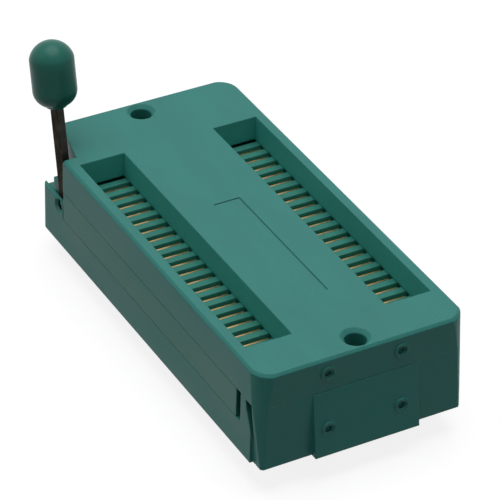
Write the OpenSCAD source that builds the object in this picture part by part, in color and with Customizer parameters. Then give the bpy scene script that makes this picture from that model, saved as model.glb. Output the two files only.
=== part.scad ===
// Lever-operated test socket for dual-in-line chips with 1.778 mm lead pitch.
// The origin is the centre of the contact pattern on the seating plane under the base.
// +X runs away from the lever end, +Z is up, and all lengths are in millimetres.

/* [Contact pattern] */
// Contacts in each of the two rows
contacts_per_row = 21; // [19:1:21]
// Lead pitch along a row
pitch = 1.778; // [1.7:0.002:1.8]
// Distance between the two rows of solder tails
row_spacing = 15.24; // [14.8:0.02:15.6]
// Length of a solder tail below the base
tail_length = 3.3; // [2:0.1:5]
// Thickness of the contact strip
strip_t = 0.22; // [0.16:0.01:0.24]
// Width of a solder tail
tail_w = 0.5; // [0.4:0.05:0.6]
// Width of the spring stem between the foot and the blade
stem_w = 2.2; // [1.4:0.1:2.6]

/* [Body] */
// Overall width of base, slide and cover
body_w = 25; // [24.8:0.1:27]
// Height from the seating plane to the top of the cover
body_h = 11.7; // [11.4:0.1:12.6]
// Length of the body's end behind the slide, where the lever is
lever_end = 7.3; // [7:0.1:9]
// Length of the front wall with its corner posts
post_l = 3.72; // [3.6:0.02:5]
// Radius of the upright corners
corner_r = 2.5; // [1.5:0.1:3]
// Height of the joint line between base and slide
base_z = 3.9; // [3.7:0.05:4]
// Height of the joint line between slide and cover
part_z = 7.6; // [7.4:0.05:7.8]
// Small bevel along the top edge of the cover
top_bevel = 0.3; // [0.1:0.05:0.5]
// Floor of the base under the contact cavities
base_floor = 0.8; // [0.6:0.05:1.2]

/* [Chip wells] */
// Width of each well
well_w = 5.5; // [5.2:0.1:5.6]
// Depth of each well down to the comb of the slide
well_depth = 3.1; // [2.9:0.05:3.3]
// Distance from the centre line to the middle of a well
well_y = 8.4; // [8.3:0.05:8.5]
// Well length behind the last contact at the lever end
well_rear = 1.75; // [1.3:0.05:1.9]
// Well length past the last contact at the far end
well_front = 0.75; // [0.6:0.05:1.2]

/* [Comb slide] */
// Width of the slot around each contact
slot_w = 0.9; // [0.84:0.02:0.94]
// Length of the slide behind the last contact at the lever end
slide_tail = 3.22; // [3.1:0.02:4]
// Length of the slide past the last contact at the far end
slide_nose = 1.6; // [1.35:0.01:2]
// Free space around the slide, above and below
slide_gap = 0.05; // [0.03:0.01:0.1]
// Travel of the slide when the lever goes down
slide_travel = 0.55; // [0.3:0.05:0.57]
// Gap that shows in front of the slide while the socket is open
front_gap = 0.9; // [0.7:0.05:1.2]
// Width of the guide rail on the centre line of the base
rail_w = 5; // [3:0.1:6]
// Height of the guide rail above the base
rail_h = 2; // [1:0.1:2.6]

/* [Lever] */
// Thickness of the lever strip
lever_t = 0.8; // [0.6:0.05:0.9]
// Width of the lever strip
lever_w = 1.9; // [1.6:0.05:2.2]
// Pivot to the middle of the knob
lever_reach = 15.7; // [14:0.1:20]
// Lean of the open lever away from the body, in degrees from upright
lever_lean = 12; // [8:1:14]
// Height of the pivot above the seating plane
pivot_z = 5; // [4.95:0.05:5.1]
// Radius of the pivot pin
pin_r = 0.55; // [0.4:0.05:0.6]
// Radial running clearance of the lever on its pin
pin_clear = 0.04; // [0.02:0.01:0.08]
// Smallest radius of the cam around the pivot
cam_r = 1.5; // [1.3:0.05:1.6]
// Diameter of the knob
knob_d = 4.95; // [4.6:0.05:6]
// Length of the knob
knob_l = 7.8; // [7:0.1:10]

/* [Fixing holes] */
// Distance of a fixing hole from the end of the cover
hole_inset = 2.07; // [1.95:0.01:2.4]
// Radius of a fixing hole
hole_r = 1.2; // [1:0.05:1.3]
// Radius of the countersink at the top face
sink_r = 1.65; // [1.5:0.05:1.9]

/* [Hidden] */
$fn = 64;
eps = 0.01;
side_gap = 0.1;
seat_gap = 0.03;
half_w = body_w / 2;
row_half = (contacts_per_row - 1) * pitch / 2;
tail_y = row_spacing / 2;

// Ends of the slide and of the body around it
slide_x0 = -row_half - slide_tail;
slide_x1 = row_half + slide_nose;
lever_gap_x = slide_x0 - 0.1;
x_rear = lever_gap_x - lever_end;
rear_block_x = slide_x0 - 0.35;
post_x = slide_x1 + front_gap;
x_front = post_x + post_l;
hole_xs = [x_rear + hole_inset, x_front - hole_inset];
base_front = x_front + 0.3;
nose_x = base_front + 0.85;
nose_w = 12.6;
nose_y = 0.2;
mark_y = 4.4;
base_mark_z = 3.1;
cover_mark_z = body_h - 1.9;

// Corners of the front: their rounding gets sharper towards the foot
corner_flare = 0.6;
corner_shift = 0.05;
post_draft = 0.4;
post_side_x = post_x + 2.25;

// Slots and ribs
comb_z = body_h - well_depth;
rib_t = pitch - slot_w;
slot_y0 = well_y - well_w / 2 - 0.3;
slot_y1 = well_y + well_w / 2 + 0.3;
comb_margin = rib_t;
comb_x0 = -row_half - slot_w / 2 - comb_margin;
comb_x1 = row_half + slot_w / 2 + comb_margin;
comb_y0 = slot_y0 - 0.3;
comb_y1 = slot_y1 + 0.15;

// Contact blade, seated just inside the far edge of its slot
blade_x1 = slot_w / 2 - slide_gap;
blade_x0 = blade_x1 - strip_t;
blade_y0 = well_y - well_w / 2 + 0.4;
blade_y1 = well_y + well_w / 2 - 0.4;
blade_top = comb_z - 0.03;
blade_foot = base_z + 0.5;

// Lever, its slot and its cam
swing = 90 - lever_lean;
cam_rise = slide_travel * 180 / (PI * swing);
pivot_x = lever_gap_x - 1.2;
lever_y = -half_w + 0.7;
lever_slot = 0.15;
slot_ya = lever_y - lever_slot;
slot_yb = lever_y + lever_t + lever_slot;
housing_top = 5.75;
housing_x = x_rear + 1.6;
housing_r = 1.3;
cam_room = cam_r + cam_rise * swing * PI / 180 + 0.3;
cam_face_x = pivot_x + cam_r + slide_gap;
lever_corner_y = slot_yb + 2.25;

// Locating pegs under the cover
peg_r = 0.8;
peg_l = 2.5;
peg_y = half_w - 4.3;
peg_fit = 0.05;
peg_rear = 3.2;
peg_front = 2.1;
peg_xs = [x_rear + peg_rear, x_front - peg_front];

green = [0.13, 0.42, 0.37];
gold = [0.83, 0.66, 0.30];
steel = [0.27, 0.23, 0.20];

function contact_name(row, i) = str("contact_", row, i < 9 ? "_0" : "_", i + 1);
function contact_x(i) = -row_half + i * pitch;

// A plate with a bevel of size e along the edges of its top
module bevelled_plate(x0, x1, y0, y1, z0, z1, e) {
    intersection() {
        translate([x0, 0, 0]) rotate([90, 0, 90]) linear_extrude(x1 - x0)
            polygon([[y0, z0], [y1, z0], [y1, z1 - e], [y1 - e, z1], [y0 + e, z1], [y0, z1 - e]]);
        translate([0, y1, 0]) rotate([90, 0, 0]) linear_extrude(y1 - y0)
            polygon([[x0, z0], [x1, z0], [x1, z1 - e], [x1 - e, z1], [x0 + e, z1], [x0, z1 - e]]);
    }
}

// A box given by its two corners
module box(a, b) {
    translate(a) cube(b - a);
}

// What a rounded corner leaves over; the round runs from the point low to the point high
module corner_waste(low, high, sx, sy) {
    lean = high - low;
    side = corner_r + 2;
    bevel_z = body_h - 2 * top_bevel;
    x = min(high[0], high[0] + sx * side);
    y = min(high[1], high[1] + sy * side);
    difference() {
        box([x, y, -1], [x + side, y + side, body_h + 1]);
        translate(low - lean / 2) rotate([0, acos(lean[2] / norm(lean)), atan2(lean[1], lean[0])])
            cylinder(h = 2 * norm(lean), r = corner_r);
    }
    // Bevel of the cover around that corner
    difference() {
        box([x, y, bevel_z], [x + side, y + side, bevel_z + 2.5 * top_bevel]);
        translate([high[0], high[1], bevel_z])
            cylinder(h = 3 * top_bevel, r1 = corner_r + top_bevel, r2 = corner_r - 2 * top_bevel);
    }
}

module all_corner_waste() {
    inset = corner_r - corner_shift;
    foot = corner_r - corner_flare;
    for (s = [-1, 1])
        corner_waste([base_front - foot, s * (half_w - post_draft - foot), 0],
                     [x_front - inset, s * (half_w - inset), body_h], 1, s);
    corner_waste([x_rear + inset, half_w - inset, 0],
                 [x_rear + inset, half_w - inset, body_h], -1, 1);
}

// Corner that is left free behind the lever, in plan
module lever_corner() {
    polygon([[lever_gap_x, -half_w - 1], [lever_gap_x, slot_yb], [x_rear, lever_corner_y],
             [x_rear - 1, lever_corner_y], [x_rear - 1, -half_w - 1]]);
}

// Both rows at once, for what the two sides share
module both_sides() {
    children();
    mirror([0, 1, 0]) children();
}

module fixing_holes(z0, z1, r) {
    for (x = hole_xs)
        translate([x, 0, z0]) cylinder(h = z1 - z0, r = r);
}

// Slit with a curved side that sets the corner post apart from the side wall
module post_slit() {
    slit_top = part_z - 0.15;
    slit_l = 1.2;
    bow_r = 12;
    slit_x = post_x + 1.05;
    rotate([90, 0, 0]) linear_extrude(1.6) difference() {
        polygon([[slit_x, slit_top], [slit_x + slit_l, slit_top],
                 [slit_x + slit_l + 0.65, -1], [slit_x + slit_l + 0.2, -1]]);
        translate([slit_x + slit_l + 0.45 - bow_r, 0.6]) circle(bow_r, $fn = 128);
    }
}

// Raised ring around a dimple, as an ejector leaves them
module mark_ring(x, y, z) {
    translate([x, y, z]) rotate([0, 90, 0]) difference() {
        cylinder(h = 0.3, r = 0.85, center = true);
        cylinder(h = 1, r = 0.6, center = true);
    }
}

module mark_dimple(x, y, z) {
    translate([x, y, z]) rotate([0, 90, 0]) cylinder(h = 0.6, r = 0.4, center = true);
}

// Upright outline drawn in x and z, given the width between y0 and y1
module upright(y0, y1, outline) {
    translate([0, y1, 0]) rotate([90, 0, 0]) linear_extrude(y1 - y0) polygon(outline);
}

module base() {
    // Place of the slanting face of the nose at the height of its marks
    mark_x = nose_x - (nose_x - x_front) * base_mark_z / part_z;
    color(green) difference() {
        union() {
            box([x_rear, -half_w, 0], [post_x + 1, half_w, base_z]);
            // Front wall with its corner posts
            upright(-half_w, half_w, [[post_x, 0], [base_front, 0], [x_front, part_z], [post_x, part_z]]);
            // Nose that grows out of the front wall
            upright(nose_y - nose_w / 2, nose_y + nose_w / 2,
                    [[x_front - 1, 0], [nose_x, 0], [x_front + 0.05, part_z - 0.05],
                     [x_front - 1, part_z - 0.05]]);
            // Rear block beside the lever
            difference() {
                box([x_rear, slot_yb + 0.9, base_z - eps], [rear_block_x, half_w, part_z]);
                translate([0, 0, base_z]) linear_extrude(part_z) lever_corner();
            }
            // Housing of the lever
            box([housing_x, -half_w + housing_r, base_z - eps],
                [lever_gap_x - 0.05, slot_yb + 1, housing_top]);
            box([housing_x + housing_r, -half_w, base_z - eps],
                [lever_gap_x - 0.05, slot_yb, housing_top]);
            translate([housing_x + housing_r, -half_w + housing_r, base_z - eps])
                cylinder(h = housing_top - base_z + eps, r = housing_r);
            // Guide rail of the slide
            box([slide_x0 + 2, -rail_w / 2, base_z - eps],
                [slide_x1 - 2, rail_w / 2, base_z + rail_h]);
            for (y = [-mark_y, mark_y])
                mark_ring(mark_x, y, base_mark_z);
        }
        for (y = [-mark_y, mark_y])
            mark_dimple(mark_x, y, base_mark_z);
        all_corner_waste();
        // Sides of the corner posts lean inwards towards the foot
        for (s = [0, 1]) mirror([0, s, 0])
            translate([post_side_x, 0, 0]) rotate([90, 0, 90]) linear_extrude(post_l + 2)
                polygon([[half_w, part_z], [half_w - post_draft, 0], [half_w - post_draft, -1],
                         [half_w + 1, -1], [half_w + 1, part_z]]);
        // Rear corner cut back to the lever's housing
        difference() {
            box([x_rear - 1, -half_w - 1, -1], [housing_x + housing_r, slot_yb, part_z + 1]);
            box([housing_x, -half_w + housing_r, -2],
                [housing_x + housing_r + 1, slot_yb + 1, part_z + 2]);
            translate([housing_x + housing_r, -half_w + housing_r, -2])
                cylinder(h = part_z + 4, r = housing_r);
        }
        // Slot in which the lever swings, and room for its cam
        box([x_rear - 1, slot_ya, pivot_z - lever_w / 2 - 0.15],
            [pivot_x, slot_yb, part_z + 1]);
        box([pivot_x - cam_room, slot_ya, pivot_z - cam_room],
            [pivot_x + cam_room, slot_yb, part_z + 1]);
        translate([pivot_x, -half_w - 1, pivot_z]) rotate([-90, 0, 0])
            cylinder(h = slot_yb + half_w + 3.2, r = pin_r + 0.05);
        translate([pivot_x, -half_w - 0.05, pivot_z]) rotate([-90, 0, 0])
            cylinder(h = 0.4, r1 = 0.95, r2 = pin_r + 0.05);
        // Cavities for the contacts, each with a narrow hole for its tail
        both_sides() for (i = [0:contacts_per_row - 1]) {
            x = contact_x(i);
            box([x - slot_w / 2, blade_y0 - 0.15, base_floor],
                [x + slot_w / 2 + 0.1, blade_y1 + 0.15, base_z + 1]);
            box([x - strip_t / 2 - seat_gap, tail_y - tail_w / 2 - seat_gap, -1],
                [x + strip_t / 2 + seat_gap, tail_y + tail_w / 2 + seat_gap, base_floor + 1]);
        }
        for (s = [-1, 1]) translate([0, s < 0 ? -half_w + 1.5 : half_w + 0.1, 0]) post_slit();
        fixing_holes(-1, part_z + 1, hole_r);
        for (x = peg_xs)
            for (y = [-peg_y, peg_y])
                translate([x, y, part_z - peg_l - 0.2]) cylinder(h = peg_l + 1, r = peg_r + peg_fit);
    }
}

module cover() {
    skirt_t = 0.6;
    roof_z = comb_z + slide_gap;
    well_x0 = -row_half - well_rear;
    well_x1 = row_half + well_front;
    groove_x = -6;
    groove_l = 19.4;
    color(green) difference() {
        union() {
            bevelled_plate(x_rear, x_front, -half_w, half_w, part_z, body_h, top_bevel);
            for (x = peg_xs)
                for (y = [-peg_y, peg_y])
                    translate([x, y, part_z - peg_l]) cylinder(h = peg_l + eps, r = peg_r);
            for (y = [-mark_y, mark_y])
                mark_ring(x_front, y, cover_mark_z);
        }
        for (y = [-mark_y, mark_y])
            mark_dimple(x_front, y, cover_mark_z);
        all_corner_waste();
        // Hollow underside in which the comb of the slide travels
        box([slide_x0 - 0.2, -half_w + skirt_t, part_z - 1],
            [post_x, half_w - skirt_t, roof_z]);
        both_sides() box([well_x0, well_y - well_w / 2, roof_z - 1],
                         [well_x1, well_y + well_w / 2, body_h + 1]);
        // Corner left free for the lever
        translate([0, 0, part_z - 3]) linear_extrude(body_h) lever_corner();
        fixing_holes(part_z - 1, body_h + 1, hole_r);
        for (x = hole_xs)
            translate([x, 0, body_h - (sink_r - hole_r)])
                cylinder(h = sink_r - hole_r + eps, r1 = hole_r, r2 = sink_r + eps);
        // Fine engraved frame between the wells
        box([groove_x, 1.43, body_h - 0.12], [groove_x + groove_l, 1.63, body_h + 1]);
        box([groove_x, -1.6, body_h - 0.12], [groove_x + 0.2, 1.63, body_h + 1]);
    }
}

module slide() {
    z0 = base_z + slide_gap;
    z1 = part_z - slide_gap;
    color(green) difference() {
        union() {
            box([slide_x0, -half_w, z0], [slide_x1, half_w, z1]);
            both_sides() box([comb_x0, comb_y0, z0], [comb_x1, comb_y1, comb_z]);
        }
        both_sides() for (i = [0:contacts_per_row - 1]) {
            x = contact_x(i);
            box([x - slot_w / 2, slot_y0, z0 - 1], [x + slot_w / 2, slot_y1, comb_z + 1]);
        }
        // Channel over the guide rail
        box([slide_x0 - 1, -rail_w / 2 - side_gap, z0 - 1],
            [slide_x1 + 1, rail_w / 2 + side_gap, base_z + rail_h + slide_gap]);
        // Pocket whose end face the cam pushes
        box([slide_x0 - 1, slot_ya, z0 - 1], [cam_face_x, slot_yb, z1 + 1]);
    }
}

// Cam outline: a flat face that it pushes moves by cam_rise for each radian
module cam_plan() {
    step = swing / 13;
    rise = cam_rise * PI / 180;
    circle(cam_r);
    polygon(concat([[0, 0]], [for (a = [0:step:swing + step / 2])
        [(cam_r + rise * a) * cos(a) - cam_rise * sin(a),
         -(cam_r + rise * a) * sin(a) - cam_rise * cos(a)]]));
}

// Places what is drawn upright along the leaning lever
module at_lever() {
    translate([pivot_x, lever_y, pivot_z]) rotate([0, -lever_lean, 0]) children();
}

module lever() {
    tang = lever_reach - knob_l / 2 + 4;
    color(steel) difference() {
        union() {
            at_lever() translate([-lever_w / 2, 0, 0]) cube([lever_w, lever_t, tang]);
            translate([pivot_x, lever_y + lever_t, pivot_z]) rotate([90, 0, 0])
                linear_extrude(lever_t) cam_plan();
        }
        at_lever() translate([0, -1, 0]) rotate([-90, 0, 0])
            cylinder(h = lever_t + 2, r = pin_r + pin_clear);
    }
}

module lever_knob() {
    tang = lever_reach - knob_l / 2 + 4;
    collar_r = 1.7;
    collar_h = 0.7;
    knob_r = knob_d / 2;
    fit = 0.02;
    color(green) at_lever() translate([0, lever_t / 2, 0]) difference() {
        translate([0, 0, lever_reach - knob_l / 2]) rotate_extrude() {
            square([collar_r, collar_h]);
            intersection() {
                translate([0, 0]) square([knob_r, knob_l]);
                union() {
                    translate([0, knob_r]) circle(knob_r);
                    translate([0, knob_l - knob_r]) circle(knob_r);
                    translate([0, knob_r]) square([knob_r, knob_l - knob_d]);
                }
            }
        }
        box([-lever_w / 2 - fit, -lever_t / 2 - fit, 0],
            [lever_w / 2 + fit, lever_t / 2 + fit, tang + fit]);
    }
}

module pivot_pin() {
    color(steel) translate([pivot_x, -half_w + 0.25, pivot_z]) rotate([-90, 0, 0])
        cylinder(h = slot_yb + half_w + 1.7, r = pin_r);
}

// One formed contact, drawn at the middle of the row on the +Y side
module contact_form() {
    side_view = [[-strip_t / 2, -tail_length], [strip_t / 2, -tail_length],
                 [strip_t / 2, base_floor], [blade_x1, base_floor], [blade_x1, blade_top],
                 [blade_x0, blade_top], [blade_x0, base_floor + strip_t],
                 [-strip_t / 2, base_floor + strip_t]];
    front_view = [[tail_y - tail_w / 4, -tail_length], [tail_y + tail_w / 4, -tail_length],
                  [tail_y + tail_w / 2, -tail_length + tail_w], [tail_y + tail_w / 2, base_floor],
                  [well_y + stem_w / 2, base_floor], [well_y + stem_w / 2, base_z - 0.6],
                  [blade_y1, blade_foot], [blade_y1, blade_top],
                  [blade_y0, blade_top], [blade_y0, blade_foot],
                  [well_y - stem_w / 2, base_z - 0.6], [well_y - stem_w / 2, base_floor],
                  [tail_y - tail_w / 2, base_floor], [tail_y - tail_w / 2, -tail_length + tail_w]];
    intersection() {
        translate([0, half_w, 0]) rotate([90, 0, 0]) linear_extrude(body_w) polygon(side_view);
        translate([-1, 0, 0]) rotate([90, 0, 90]) linear_extrude(2) polygon(front_view);
    }
}

module contact(row, i) {
    color(gold) translate([contact_x(i), 0, 0])
        mirror([0, row == "l" ? 1 : 0, 0]) contact_form();
}

base();
cover();
slide();
lever();
lever_knob();
pivot_pin();
for (row = ["l", "r"])
    for (i = [0:contacts_per_row - 1])
        contact(row, i);
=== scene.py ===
# %% [markdown]
# # A lever-operated test socket for dual-in-line chips
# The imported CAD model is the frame: it holds every size, place and joint. This lesson dresses it,
# piece by piece, with rounded edges and with materials that are computed from nodes.
# All lengths in Blender are metres, so `MM` turns millimetres into Blender's unit.

# %% Load the frame
import math

import bmesh
import bpy
from mathutils import Matrix, Vector


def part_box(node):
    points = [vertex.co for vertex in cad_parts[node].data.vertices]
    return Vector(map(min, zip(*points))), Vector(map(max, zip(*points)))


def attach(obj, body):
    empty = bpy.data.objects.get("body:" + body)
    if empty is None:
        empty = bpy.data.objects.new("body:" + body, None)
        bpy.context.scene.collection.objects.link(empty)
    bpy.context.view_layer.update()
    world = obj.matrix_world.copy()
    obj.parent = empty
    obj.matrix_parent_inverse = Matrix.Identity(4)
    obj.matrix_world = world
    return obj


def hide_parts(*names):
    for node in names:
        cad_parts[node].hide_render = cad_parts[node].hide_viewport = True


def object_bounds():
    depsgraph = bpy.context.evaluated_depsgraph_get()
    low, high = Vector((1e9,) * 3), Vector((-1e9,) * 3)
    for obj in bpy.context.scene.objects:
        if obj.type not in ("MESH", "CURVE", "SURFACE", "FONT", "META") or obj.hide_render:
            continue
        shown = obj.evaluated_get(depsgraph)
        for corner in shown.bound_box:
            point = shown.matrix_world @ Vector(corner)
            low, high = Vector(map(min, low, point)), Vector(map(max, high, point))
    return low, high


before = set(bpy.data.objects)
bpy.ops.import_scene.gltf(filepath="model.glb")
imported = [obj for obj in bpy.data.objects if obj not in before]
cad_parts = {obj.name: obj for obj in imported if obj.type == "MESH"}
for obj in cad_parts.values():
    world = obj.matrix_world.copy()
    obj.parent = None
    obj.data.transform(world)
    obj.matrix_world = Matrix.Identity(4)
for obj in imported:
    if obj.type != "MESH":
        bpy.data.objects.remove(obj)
CAD_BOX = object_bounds()
MM = 0.001

# %% [markdown]
# ## The camera
# A fit to the body's straight edges gives a long lens, 35 degrees above the table and 60 degrees round
# from the socket's long side. A camera can be placed by its coordinates and three turns, but an aim
# point, two angles, a distance and a small roll say the same in words that a photographer uses.

# %% Place the camera
AIM = Vector((-4.95, 2.57, 5.0)) * MM
AZIMUTH, ELEVATION, ROLL = math.radians(60.07), math.radians(34.92), math.radians(1.81)
DISTANCE = 357.3 * MM
FOCAL_LENGTH = 232.5
SENSOR_WIDTH = 36.0


def place_camera():
    """A camera that looks at the aim point from the photograph's direction."""
    data = bpy.data.cameras.new("photo_camera")
    data.lens, data.sensor_width = FOCAL_LENGTH, SENSOR_WIDTH
    data.clip_start, data.clip_end = 10 * MM, 5000 * MM
    camera = bpy.data.objects.new("photo_camera", data)
    bpy.context.scene.collection.objects.link(camera)
    back = Vector((math.sin(AZIMUTH) * math.cos(ELEVATION),
                   -math.cos(AZIMUTH) * math.cos(ELEVATION),
                   math.sin(ELEVATION)))
    level = back.to_track_quat("Z", "Y")
    turn = Matrix.Rotation(ROLL, 4, "Z")
    camera.matrix_world = Matrix.Translation(AIM + back * DISTANCE) @ level.to_matrix().to_4x4() @ turn
    bpy.context.scene.camera = camera
    return camera


print("camera at", [round(v / MM, 1) for v in place_camera().location], "mm")

# %% [markdown]
# ## Colours and nodes
# A colour picker shows sRGB, and the shader wants linear light, so one function turns a hex value into
# linear numbers. A second small function adds a node with its settings and its links, and a third
# starts a material. Everything below is built with those three.

# %% Colour and node helpers
def linear(hex_colour):
    """An sRGB hex colour as linear red, green, blue and alpha."""
    channels = [int(hex_colour[i:i + 2], 16) / 255 for i in (1, 3, 5)]
    return [c / 12.92 if c <= 0.04045 else ((c + 0.055) / 1.055) ** 2.4 for c in channels] + [1.0]


def add_node(tree, kind, settings=None, **inputs):
    """A node of that kind. Its inputs are values, or output sockets of other nodes, which get linked.
    An input is named in lower case with _ for a space, or numbered as in_0, in_1."""
    node = tree.nodes.new(kind)
    for name, value in (settings or {}).items():
        setattr(node, name, value)
    for name, value in inputs.items():
        if name.startswith("in_"):
            socket = node.inputs[int(name[3:])]
        else:
            socket = next(s for s in node.inputs
                          if s.enabled and s.name.lower().replace(" ", "_") == name)
        if isinstance(value, bpy.types.NodeSocket):
            tree.links.new(value, socket)
        else:
            socket.default_value = value
    return node


def new_material(name):
    """An empty node material, its tree and its output node."""
    material = bpy.data.materials.new(name)
    material.use_nodes = True
    tree = material.node_tree
    tree.nodes.clear()
    return material, tree, tree.nodes.new("ShaderNodeOutputMaterial")


# %% [markdown]
# ## Glass-filled thermoplastic, injection moulded
# Sockets like this are moulded in a heat-resistant plastic with short glass fibres, here dyed
# blue-green. The skin is satin: fibres near it make a fine grain, and the melt leaves faint cloudy
# streaks along its flow. One noise could only do one of them, so there are two on Object coordinates:
# one of about four millimetres for the clouds, and one of a sixth of a millimetre for the grain, which
# also drives a bump. The knob gets the same recipe, darker and smoother.
# In the photograph the walls of the wells and slots are lighter than the lamps alone make them, and
# here their colour is lifted to match, which is painted light. Mould cores that are cut by sparks can
# leave such walls, but the true cause isn't known. A pair of boxes, mirrored about the centre line,
# says where those walls are, and one factor, set against the photograph, says how much painted light
# they get.

# %% Moulded plastic
PLASTIC_IOR = 1.55
CLOUD_SIZE = 4.0 * MM
STREAK_STRETCH = 3.0
GRAIN_SIZE = 0.16 * MM
GRAIN_DEPTH = 0.008 * MM
# Painted light: the factor that lifts the colour of the well and slot walls, and the boxes where it does.
WALL_PAINTED_LIGHT_LIFT = 1.9
WELL_WALL_PAINTED_LIGHT_BOXES = ((-0.5, 8.4, 9.8), (19.1, 2.8, 1.85))
SLOT_WALL_PAINTED_LIGHT_BOXES = ((0, 8.4, 6.2), (18.9, 3.1, 2.35))
EDGE_ROUND = 0.2 * MM


def in_mirrored_boxes(tree, place, middle, half):
    """1 inside the box with that middle and half size in millimetres, and inside its mirror image in y."""
    axes = add_node(tree, "ShaderNodeSeparateXYZ", vector=place).outputs
    off_centre = add_node(tree, "ShaderNodeMath", {"operation": "ABSOLUTE"}, in_0=axes["Y"])
    inside = None
    for value, at, reach in zip((axes["X"], off_centre.outputs[0], axes["Z"]), middle, half):
        near = add_node(tree, "ShaderNodeMath", {"operation": "COMPARE"},
                        in_0=value, in_1=at * MM, in_2=reach * MM).outputs[0]
        inside = near if inside is None else add_node(
            tree, "ShaderNodeMath", {"operation": "MULTIPLY"}, in_0=inside, in_1=near).outputs[0]
    return inside


def moulded_plastic(name, pale, body, deep, roughness, specular, painted_light_walls=None):
    """Satin moulded plastic that drifts between three near shades; the last argument is the middle and the
    half size of the mirrored boxes whose walls get painted light, a lifted colour."""
    material, tree, output = new_material(name)
    place = add_node(tree, "ShaderNodeTexCoord").outputs["Object"]
    along = add_node(tree, "ShaderNodeMapping", vector=place, scale=(1 / STREAK_STRETCH, 1, 1))
    clouds = add_node(tree, "ShaderNodeTexNoise", vector=along.outputs[0],
                      scale=1 / CLOUD_SIZE, detail=3.0, roughness=0.55)
    grain = add_node(tree, "ShaderNodeTexNoise", vector=place,
                     scale=1 / GRAIN_SIZE, detail=2.0, roughness=0.6)
    shades = add_node(tree, "ShaderNodeValToRGB", fac=clouds.outputs["Fac"])
    ramp = shades.color_ramp
    ramp.elements[0].position, ramp.elements[0].color = 0.30, linear(deep)
    ramp.elements[1].position, ramp.elements[1].color = 0.72, linear(pale)
    ramp.elements.new(0.5).color = linear(body)
    fibres = add_node(tree, "ShaderNodeMapRange", value=grain.outputs["Fac"],
                      from_min=0.3, from_max=0.7, to_min=0.94, to_max=1.06)
    strength = fibres.outputs[0]
    # Painted light: inside the mirrored boxes the colour is lifted by the wall factor.
    if painted_light_walls:
        painted_light_lift = add_node(tree, "ShaderNodeMath", {"operation": "MULTIPLY_ADD"},
                         in_0=in_mirrored_boxes(tree, place, *painted_light_walls),
                         in_1=WALL_PAINTED_LIGHT_LIFT - 1, in_2=1.0)
        strength = add_node(tree, "ShaderNodeMath", {"operation": "MULTIPLY"},
                            in_0=strength, in_1=painted_light_lift.outputs[0]).outputs[0]
    colour = add_node(tree, "ShaderNodeVectorMath", {"operation": "SCALE"},
                      vector=shades.outputs["Color"], scale=strength)
    satin = add_node(tree, "ShaderNodeMapRange", value=clouds.outputs["Fac"],
                     from_min=0.3, from_max=0.7,
                     to_min=roughness - 0.03, to_max=roughness + 0.05)
    rounded = add_node(tree, "ShaderNodeBevel", {"samples": 6}, radius=EDGE_ROUND)
    bump = add_node(tree, "ShaderNodeBump", strength=0.35, distance=GRAIN_DEPTH,
                    height=grain.outputs["Fac"], normal=rounded.outputs[0])
    shader = add_node(tree, "ShaderNodeBsdfPrincipled", base_color=colour.outputs[0],
                      roughness=satin.outputs[0], normal=bump.outputs[0], ior=PLASTIC_IOR,
                      specular_ior_level=specular)
    tree.links.new(shader.outputs[0], output.inputs[0])
    return material


COVER_PLASTIC = moulded_plastic("glass_filled_plastic_moulded", "#36877f", "#33837b", "#307e77",
                                roughness=0.5, specular=0.25, painted_light_walls=WELL_WALL_PAINTED_LIGHT_BOXES)
SLIDE_PLASTIC = moulded_plastic("glass_filled_plastic_comb", "#378679", "#348275", "#307c70",
                                roughness=0.5, specular=0.25, painted_light_walls=SLOT_WALL_PAINTED_LIGHT_BOXES)
KNOB_PLASTIC = moulded_plastic("thermoplastic_knob_moulded", "#2a7669", "#277164", "#246b5e",
                               roughness=0.32, specular=0.16)
print("plastics", [m.name for m in (COVER_PLASTIC, SLIDE_PLASTIC, KNOB_PLASTIC)])

# %% [markdown]
# ## Steel strip with a heat-treated skin
# The lever is a strip of dark steel. A tempered strip has a brown-black oxide like that, which wears
# thin in patches, and rolling leaves fine lines along it. Scratches could be cut in the mesh, but lines
# this fine are a matter for the finish: a stretched noise makes them, and a rounder one mixes two oxide
# colours. The pin shows only its end, deep in its hole, so it gets the same recipe in darker colours,
# which are painted shade of the hole.

# %% Oxidised steel and turned steel
ROLL_LINE = 0.12 * MM
LINE_STRETCH = 14.0
OXIDE_PATCH = 1.6 * MM


def rolled_metal(name, pale, deep, lines, roughness, edge="#ffffff"):
    """Metal with fine lines along one direction; lines is the Mapping scale that draws them out.
    An oxide skin mirrors little at a flat angle, which a dark edge colour says."""
    material, tree, output = new_material(name)
    place = add_node(tree, "ShaderNodeTexCoord").outputs["Object"]
    along = add_node(tree, "ShaderNodeMapping", vector=place, scale=lines)
    rolled = add_node(tree, "ShaderNodeTexNoise", vector=along.outputs[0],
                      scale=1 / ROLL_LINE, detail=2.0)
    patches = add_node(tree, "ShaderNodeTexNoise", vector=place, scale=1 / OXIDE_PATCH, detail=4.0)
    shades = add_node(tree, "ShaderNodeValToRGB", fac=patches.outputs["Fac"])
    ramp = shades.color_ramp
    ramp.elements[0].position, ramp.elements[0].color = 0.35, linear(deep)
    ramp.elements[1].position, ramp.elements[1].color = 0.65, linear(pale)
    worn = add_node(tree, "ShaderNodeMapRange", value=rolled.outputs["Fac"],
                    from_min=0.3, from_max=0.7,
                    to_min=roughness - 0.08, to_max=roughness + 0.1)
    bump = add_node(tree, "ShaderNodeBump", strength=0.3, distance=0.01 * MM,
                    height=rolled.outputs["Fac"])
    shader = add_node(tree, "ShaderNodeBsdfPrincipled", base_color=shades.outputs["Color"],
                      metallic=1.0, roughness=worn.outputs[0], normal=bump.outputs[0],
                      specular_tint=linear(edge))
    tree.links.new(shader.outputs[0], output.inputs[0])
    return material


LEVER_STEEL = rolled_metal("spring_steel_tempered_strip", "#4b4743", "#393532",
                           (1, 1, 1 / LINE_STRETCH), 0.5, edge="#80807c")
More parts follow.
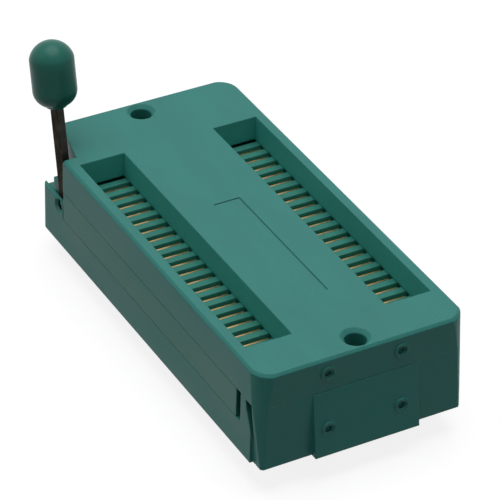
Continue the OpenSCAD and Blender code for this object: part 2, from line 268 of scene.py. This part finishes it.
# The pin's darker colours are painted shade of its hole, not a different steel.
PIN_STEEL_PAINTED_SHADE = rolled_metal("steel_turned_pin", "#2e2b29", "#22201e",
                         (1, 1 / LINE_STRETCH, 1), 0.55, edge="#3a3a38")
print("steels", [m.name for m in (LEVER_STEEL, PIN_STEEL_PAINTED_SHADE)])

# %% [markdown]
# ## Gold plate on copper alloy
# Contacts of this kind are stamped from a copper alloy strip and plated, and only the upper edges of
# the blades show. The plate follows the rolled strip, so the same recipe serves, with two near shades of
# gold. They are duller than clean gold plate, because the edges look beige in the photograph.

# %% Gold plate
CONTACT_GOLD = rolled_metal("gold_plated_copper_alloy", "#c2a777", "#a68b5c",
                            (1, 1, 1 / LINE_STRETCH), 0.3)
print("plating", CONTACT_GOLD.name)

# %% [markdown]
# ## The mouldings, the lever and its pin
# Base, cover and slide are single mouldings, and the CAD model has their true shape with its holes,
# wells, slots and slits. The stamped lever and the turned pin are in it too. A rebuilt mesh could carry
# real edge rounds, but the Bevel node in the plastic shades them without a new mesh. So these nodes stay
# as they are, and one function gives them their finish and says how many faces it dressed.

# %% Dress the mouldings, the lever and the pin
def dress(node, material):
    """The material on every slot of a CAD node."""
    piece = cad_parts[node]
    piece.data.materials.clear()
    piece.data.materials.append(material)
    print(node, len(piece.data.polygons), "triangles in", material.name)


dress("base", COVER_PLASTIC)
dress("cover", COVER_PLASTIC)
dress("slide", SLIDE_PLASTIC)
dress("lever", LEVER_STEEL)
dress("pivot_pin", PIN_STEEL_PAINTED_SHADE)

# %% [markdown]
# ## The knob
# The knob sits on the strip's end: a capsule with a small collar. A cylinder between two half spheres
# would come near, but a turned outline can give foot and crown a radius each. The profile is a row of
# arcs: the collar's rounded rim, a tight round at the foot and a wide one at the crown, with a straight
# side between them. The crown meets the side at a faint shoulder, and an extra ring just below it keeps
# the smooth shading of the shoulder off the rest of the side. The outline is spun round the knob's
# axis, which leans with the lever.

# %% Knob
LEAN = math.radians(12)
KNOB_RADIUS = 5.05 / 2 * MM
KNOB_LENGTH = 7.8 * MM
KNOB_FOOT = 1.95 * MM
CROWN_RADIUS = 2.6 * MM
SHOULDER_BLEND = 0.9 * MM
COLLAR_RADIUS = 1.2 * MM
COLLAR_HEIGHT = 0.2 * MM
COLLAR_ROUND = 0.12 * MM
KNOB_STEPS = 72
ARC_STEPS = 14


def arc(centre, radius, start, end, steps):
    """Points of an arc in the profile plane; angles in degrees from the radial direction."""
    turns = [math.radians(start + (end - start) * i / steps) for i in range(steps + 1)]
    return [(centre[0] + radius * math.cos(t), centre[1] + radius * math.sin(t)) for t in turns]


def knob_profile():
    """Radius and height along the knob's outline, from the collar's underside up to the crown."""
    rim = COLLAR_RADIUS - COLLAR_ROUND
    collar = arc((rim, COLLAR_ROUND), COLLAR_ROUND, -90, 0, 4)
    inset = KNOB_RADIUS - KNOB_FOOT
    turn = math.acos((COLLAR_RADIUS - inset) / KNOB_FOOT)
    lower = arc((inset, COLLAR_HEIGHT + KNOB_FOOT * math.sin(turn)), KNOB_FOOT,
                -math.degrees(turn), 0, ARC_STEPS)
    shoulder = math.degrees(math.acos(KNOB_RADIUS / CROWN_RADIUS))
    upper = arc((0, KNOB_LENGTH - CROWN_RADIUS), CROWN_RADIUS, shoulder, 90, ARC_STEPS)
    blend = (KNOB_RADIUS, upper[0][1] - SHOULDER_BLEND)
    return [(0.0, 0.0)] + collar + lower + [blend] + upper[:-1] + [(0.0, KNOB_LENGTH)]


def knob_place():
    """Where the middle of the collar's underside is, and the turn that leans the axis."""
    low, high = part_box("lever_knob")
    lean = Matrix.Rotation(-LEAN, 4, "Y")
    round_top = (high.y - low.y) / 2
    crown = Vector((low.x + round_top, (low.y + high.y) / 2, high.z - round_top))
    foot = crown - (lean @ Vector((0, 0, 1))) * (KNOB_LENGTH - round_top)
    return Matrix.Translation(foot) @ lean


def add_piece(name, mesh, body, material, nodes):
    """A finished piece that rides on its body and stands for its CAD nodes, if it has any."""
    piece = bpy.data.objects.new(name, mesh)
    bpy.context.scene.collection.objects.link(piece)
    mesh.materials.clear()
    mesh.materials.append(material)
    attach(piece, body)
    if nodes:
        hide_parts(*nodes)
    print(name, len(mesh.polygons), "faces")
    return piece


def spun_knob():
    """The profile turned round the knob's axis, closed at both poles."""
    bm = bmesh.new()
    outline = [bm.verts.new((radius, 0, height)) for radius, height in knob_profile()]
    edges = [bm.edges.new(pair) for pair in zip(outline, outline[1:])]
    bmesh.ops.spin(bm, geom=outline + edges, cent=(0, 0, 0), axis=(0, 0, 1), dvec=(0, 0, 0),
                   angle=2 * math.pi, steps=KNOB_STEPS, use_duplicate=False)
    bmesh.ops.remove_doubles(bm, verts=bm.verts, dist=0.001 * MM)
    bmesh.ops.recalc_face_normals(bm, faces=bm.faces)
    bm.transform(knob_place())
    mesh = bpy.data.meshes.new("moulded_knob")
    bm.to_mesh(mesh)
    bm.free()
    mesh.shade_smooth()
    return mesh


add_piece("moulded_knob", spun_knob(), "lever_body", KNOB_PLASTIC, ["lever_knob"])

# %% [markdown]
# ## The corner behind the lever
# The cover and the block under it leave one corner free, so that the lever can swing out. On the real
# socket that corner is a narrow wedge with its point at the lever. The CAD model cuts it a little wider,
# so a slim prism of the same plastic makes up the difference. A recut copy of the cover would do too,
# but the prism leaves the CAD mesh as it is. Its top sinks into the cover at a very flat angle, and so
# no seam shows. At the rear it ends where the bevel of the cover begins. Lengths here are in millimetres.

# %% Corner prism
CORNER_TIP = (-21.1, -10.85)
CORNER_REAR_X = -28.1
CORNER_REAR_Y = -8.7
CORNER_NEAR_Y = -9.41
SINK_RUN = 1.4
SLIDE_ROOM = 0.3
LOWER_TIP = 0.2
BASE_Z, JOINT_Z, COVER_TOP = 3.9, 7.6, 11.7
SINK_DEPTH = 0.012


def prism(bm, plan, foot, tops):
    """A closed prism in millimetres over a plan, with a height of its own at each corner."""
    low = [bm.verts.new(Vector((x, y, foot)) * MM) for x, y in plan]
    high = [bm.verts.new(Vector((x, y, z)) * MM) for (x, y), z in zip(plan, tops)]
    bm.faces.new(low[::-1])
    bm.faces.new(high)
    for i in range(len(plan)):
        j = (i + 1) % len(plan)
        bm.faces.new((low[i], low[j], high[j], high[i]))


def corner_mesh():
    """The part of the corner above the joint line of the cover, and the one below it."""
    bm = bmesh.new()
    tip_x, tip_y = CORNER_TIP
    near = (CORNER_REAR_X, CORNER_NEAR_Y)
    above, under = COVER_TOP + SINK_DEPTH, COVER_TOP - SINK_DEPTH
    prism(bm, [near, CORNER_TIP, (tip_x, tip_y + SINK_RUN), (CORNER_REAR_X, CORNER_REAR_Y + SINK_RUN)],
          JOINT_Z, [above, above, under, under])
    behind_slide = tip_x - SLIDE_ROOM
    prism(bm, [near, (behind_slide, tip_y), (behind_slide, tip_y + LOWER_TIP),
               (CORNER_REAR_X, CORNER_REAR_Y)],
          BASE_Z, [JOINT_Z] * 4)
    bmesh.ops.recalc_face_normals(bm, faces=bm.faces)
    mesh = bpy.data.meshes.new("lever_corner")
    bm.to_mesh(mesh)
    bm.free()
    return mesh


add_piece("lever_corner", corner_mesh(), "socket_body", COVER_PLASTIC, [])

# %% [markdown]
# ## The spring contacts
# Each contact is one strip, stamped and then bent: a solder tail, a foot, a stem and a wide blade. The
# outside of a bend has a radius of about the strip's thickness. A curve with a flat profile would give
# the bends, but not the changes of width, so one contact is lofted in mesh code through rectangular
# sections along its path. Geometry Nodes set the two rows of it: a line of points one pitch apart, an
# instance on each, and the same again mirrored for the other row.

# %% One contact
LOW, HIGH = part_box("contact_r_11")
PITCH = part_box("contact_r_12")[0].x - LOW.x
PER_ROW = sum(name.startswith("contact_r_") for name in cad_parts)
STRIP = 0.22 * MM
TAIL_W = 0.5 * MM
STEM_W = 2.2 * MM
TAIL_Y = 7.62 * MM
FOOT_Z = 0.8 * MM
SHOULDER_Z = 3.3 * MM
FLARE_Z = 4.4 * MM
BEND_STEPS = 4
BEND_RADIUS = 0.55 * STRIP
SHARP = math.radians(30)


def strip_path():
    """Stations along the strip: place in x and z, direction, and the two edges in y."""
    blade_x = HIGH.x - STRIP / 2
    foot_z = FOOT_Z + STRIP / 2
    middle_y = (LOW.y + HIGH.y) / 2
    tail = (TAIL_Y - TAIL_W / 2, TAIL_Y + TAIL_W / 2)
    stem = (middle_y - STEM_W / 2, middle_y + STEM_W / 2)
    bend = BEND_RADIUS
    rows = [((0, LOW.z), 90, (TAIL_Y - TAIL_W / 4, TAIL_Y + TAIL_W / 4)),
            ((0, LOW.z + TAIL_W), 90, tail), ((0, FOOT_Z - 0.02 * MM), 90, tail),
            ((0, FOOT_Z), 90, stem)]
    for i in range(BEND_STEPS + 1):
        turn = math.radians(90 * i / BEND_STEPS)
        rows.append(((bend - bend * math.cos(turn), foot_z - bend + bend * math.sin(turn)),
                     90 - math.degrees(turn), stem))
    for i in range(BEND_STEPS + 1):
        turn = math.radians(90 * i / BEND_STEPS)
        rows.append(((blade_x - bend + bend * math.sin(turn), foot_z + bend - bend * math.cos(turn)),
                     math.degrees(turn), stem))
    rows += [((blade_x, SHOULDER_Z), 90, stem), ((blade_x, FLARE_Z), 90, (LOW.y, HIGH.y)),
             ((blade_x, HIGH.z), 90, (LOW.y, HIGH.y))]
    return rows


def contact_mesh():
    """A closed strip lofted through its stations."""
    bm = bmesh.new()
    rings = []
    for (x, z), heading, (y0, y1) in strip_path():
        side_x = math.sin(math.radians(heading)) * STRIP / 2
        side_z = -math.cos(math.radians(heading)) * STRIP / 2
        rings.append([bm.verts.new((x + sx * side_x, y, z + sx * side_z))
                      for sx, y in ((-1, y0), (1, y0), (1, y1), (-1, y1))])
    for a, b in zip(rings, rings[1:]):
        for k in range(4):
            bm.faces.new((a[k], a[(k + 1) % 4], b[(k + 1) % 4], b[k]))
    bm.faces.new(rings[0][::-1])
    bm.faces.new(rings[-1])
    bmesh.ops.recalc_face_normals(bm, faces=bm.faces)
    mesh = bpy.data.meshes.new("one_contact")
    bm.to_mesh(mesh)
    bm.free()
    mesh.shade_smooth()
    mesh.set_sharp_from_angle(angle=SHARP)
    return mesh


print("contact pitch", round(PITCH / MM, 3), "mm,", PER_ROW, "in a row")

# %% Two rows by Geometry Nodes
def contact_rows_tree():
    """Instances the incoming contact at every pitch, in two rows that face each other."""
    tree = bpy.data.node_groups.new("contact_rows", "GeometryNodeTree")
    for name, kind, direction in (("Contact", "NodeSocketGeometry", "INPUT"),
                                  ("Count", "NodeSocketInt", "INPUT"),
                                  ("Pitch", "NodeSocketFloat", "INPUT"),
                                  ("Metal", "NodeSocketMaterial", "INPUT"),
                                  ("Rows", "NodeSocketGeometry", "OUTPUT")):
        tree.interface.new_socket(name, in_out=direction, socket_type=kind)
    given = tree.nodes.new("NodeGroupInput").outputs
    last = add_node(tree, "ShaderNodeMath", {"operation": "SUBTRACT"}, in_0=given["Count"], in_1=1.0)
    length = add_node(tree, "ShaderNodeMath", {"operation": "MULTIPLY"},
                      in_0=last.outputs[0], in_1=given["Pitch"])
    half = add_node(tree, "ShaderNodeMath", {"operation": "MULTIPLY"},
                    in_0=length.outputs[0], in_1=-0.5)
    start = add_node(tree, "ShaderNodeCombineXYZ", x=half.outputs[0])
    step = add_node(tree, "ShaderNodeCombineXYZ", x=given["Pitch"])
    points = add_node(tree, "GeometryNodeMeshLine", count=given["Count"],
                      start_location=start.outputs[0], offset=step.outputs[0])
    row = add_node(tree, "GeometryNodeInstanceOnPoints", points=points.outputs[0],
                   instance=given["Contact"])
    real = add_node(tree, "GeometryNodeRealizeInstances", geometry=row.outputs[0])
    other = add_node(tree, "GeometryNodeTransform", geometry=real.outputs[0], scale=(1, -1, 1))
    outward = add_node(tree, "GeometryNodeFlipFaces", mesh=other.outputs[0])
    both = tree.nodes.new("GeometryNodeJoinGeometry")
    tree.links.new(real.outputs[0], both.inputs[0])
    tree.links.new(outward.outputs[0], both.inputs[0])
    plain = add_node(tree, "GeometryNodeRealizeInstances", geometry=both.outputs[0])
    coated = add_node(tree, "GeometryNodeSetMaterial", geometry=plain.outputs[0],
                      material=given["Metal"])
    result = tree.nodes.new("NodeGroupOutput")
    tree.links.new(coated.outputs[0], result.inputs[0])
    return tree


def set_input(modifier, name, value):
    """Sets a modifier's input by the identifier of the socket with that name."""
    socket = next(s for s in modifier.node_group.interface.items_tree
                  if s.name == name and s.in_out == "INPUT")
    modifier[socket.identifier] = value


def contact_rows():
    """Both rows as one plain mesh."""
    pattern = bpy.data.objects.new("contact_pattern", contact_mesh())
    bpy.context.scene.collection.objects.link(pattern)
    modifier = pattern.modifiers.new("rows", "NODES")
    modifier.node_group = contact_rows_tree()
    set_input(modifier, "Count", PER_ROW)
    set_input(modifier, "Pitch", PITCH)
    set_input(modifier, "Metal", CONTACT_GOLD)
    bpy.context.view_layer.update()
    shown = pattern.evaluated_get(bpy.context.evaluated_depsgraph_get())
    mesh = bpy.data.meshes.new_from_object(shown)
    bpy.data.objects.remove(pattern)
    mesh.name = "spring_contacts"
    return mesh


add_piece("spring_contacts", contact_rows(), "socket_body", CONTACT_GOLD,
          [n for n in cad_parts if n.startswith("contact_")])

# %% [markdown]
# ## Floor and light
# The photograph is a cut-out on white. A ring of lamps would light every side alike, so one large soft
# lamp from above and a little behind lights the top face and leaves the two sides that face the camera
# dim, as there. A small lamp beyond the long side and an even sky lift the sides and the walls of the
# wells. The camera and the reflections see a white floor that only dims a little in the object's
# shadow. The light that bounces up from it is that of a darker table.

# %% Floor, world and lamps
FLOOR_Z = CAD_BOX[0].z
FLOOR_HALF = 2000 * MM
TABLE_GREY = "#141414"
PAPER_GREY = "#8a8a8a"
PAPER_GLOW = 0.85


def seen_directly(tree):
    """1 for camera, glossy and transmission rays, and 0 for the light that bounces."""
    path = add_node(tree, "ShaderNodeLightPath").outputs
    some = add_node(tree, "ShaderNodeMath", {"operation": "MAXIMUM"},
                    in_0=path["Is Camera Ray"], in_1=path["Is Glossy Ray"])
    return add_node(tree, "ShaderNodeMath", {"operation": "MAXIMUM"},
                    in_0=some.outputs[0], in_1=path["Is Transmission Ray"]).outputs[0]


def pale_floor():
    """A plain floor under the lowest point of the object."""
    mesh = bpy.data.meshes.new("floor")
    corners = [(x * FLOOR_HALF, y * FLOOR_HALF, FLOOR_Z)
               for x, y in ((-1, -1), (1, -1), (1, 1), (-1, 1))]
    mesh.from_pydata(corners, [], [(0, 1, 2, 3)])
    floor = bpy.data.objects.new("floor", mesh)
    bpy.context.scene.collection.objects.link(floor)
    material, tree, output = new_material("pale_paper")
    table = add_node(tree, "ShaderNodeBsdfDiffuse", color=linear(TABLE_GREY))
    paper = add_node(tree, "ShaderNodeBsdfDiffuse", color=linear(PAPER_GREY))
    glow = add_node(tree, "ShaderNodeEmission", color=(1, 1, 1, 1), strength=PAPER_GLOW)
    lit = add_node(tree, "ShaderNodeAddShader", in_0=paper.outputs[0], in_1=glow.outputs[0])
    mixed = add_node(tree, "ShaderNodeMixShader", in_0=seen_directly(tree),
                     in_1=table.outputs[0], in_2=lit.outputs[0])
    tree.links.new(mixed.outputs[0], output.inputs[0])
    mesh.materials.append(material)


def soft_world(ambient):
    """White to the camera and to reflections, and a dim even sky to everything else."""
    world = bpy.data.worlds.new("studio")
    bpy.context.scene.world = world
    world.use_nodes = True
    tree = world.node_tree
    tree.nodes.clear()
    dim = add_node(tree, "ShaderNodeBackground", color=(1, 1, 1, 1), strength=ambient)
    white = add_node(tree, "ShaderNodeBackground", color=(1, 1, 1, 1), strength=1.0)
    mixed = add_node(tree, "ShaderNodeMixShader", in_0=seen_directly(tree),
                     in_1=dim.outputs[0], in_2=white.outputs[0])
    add_node(tree, "ShaderNodeOutputWorld", in_0=mixed.outputs[0])


def soft_box(name, place, aim, size, power):
    """A square area lamp that points at the aim."""
    data = bpy.data.lights.new(name, "AREA")
    data.shape, data.size, data.energy = "SQUARE", size, power
    lamp = bpy.data.objects.new(name, data)
    bpy.context.scene.collection.objects.link(lamp)
    lamp.location = place
    lamp.rotation_mode = "QUATERNION"
    lamp.rotation_quaternion = (place - aim).to_track_quat("Z", "Y")
    return lamp


pale_floor()
soft_world(ambient=0.14)
lamps = [soft_box("top_box", Vector((-60, 10, 520)) * MM, AIM, size=460 * MM, power=2.0),
         soft_box("fill_box", Vector((-150, -400, 330)) * MM, AIM, size=200 * MM, power=0.13)]
bpy.context.scene.view_settings.view_transform = "Standard"
print("lamps", [(lamp.name, round(lamp.data.energy, 2)) for lamp in lamps])
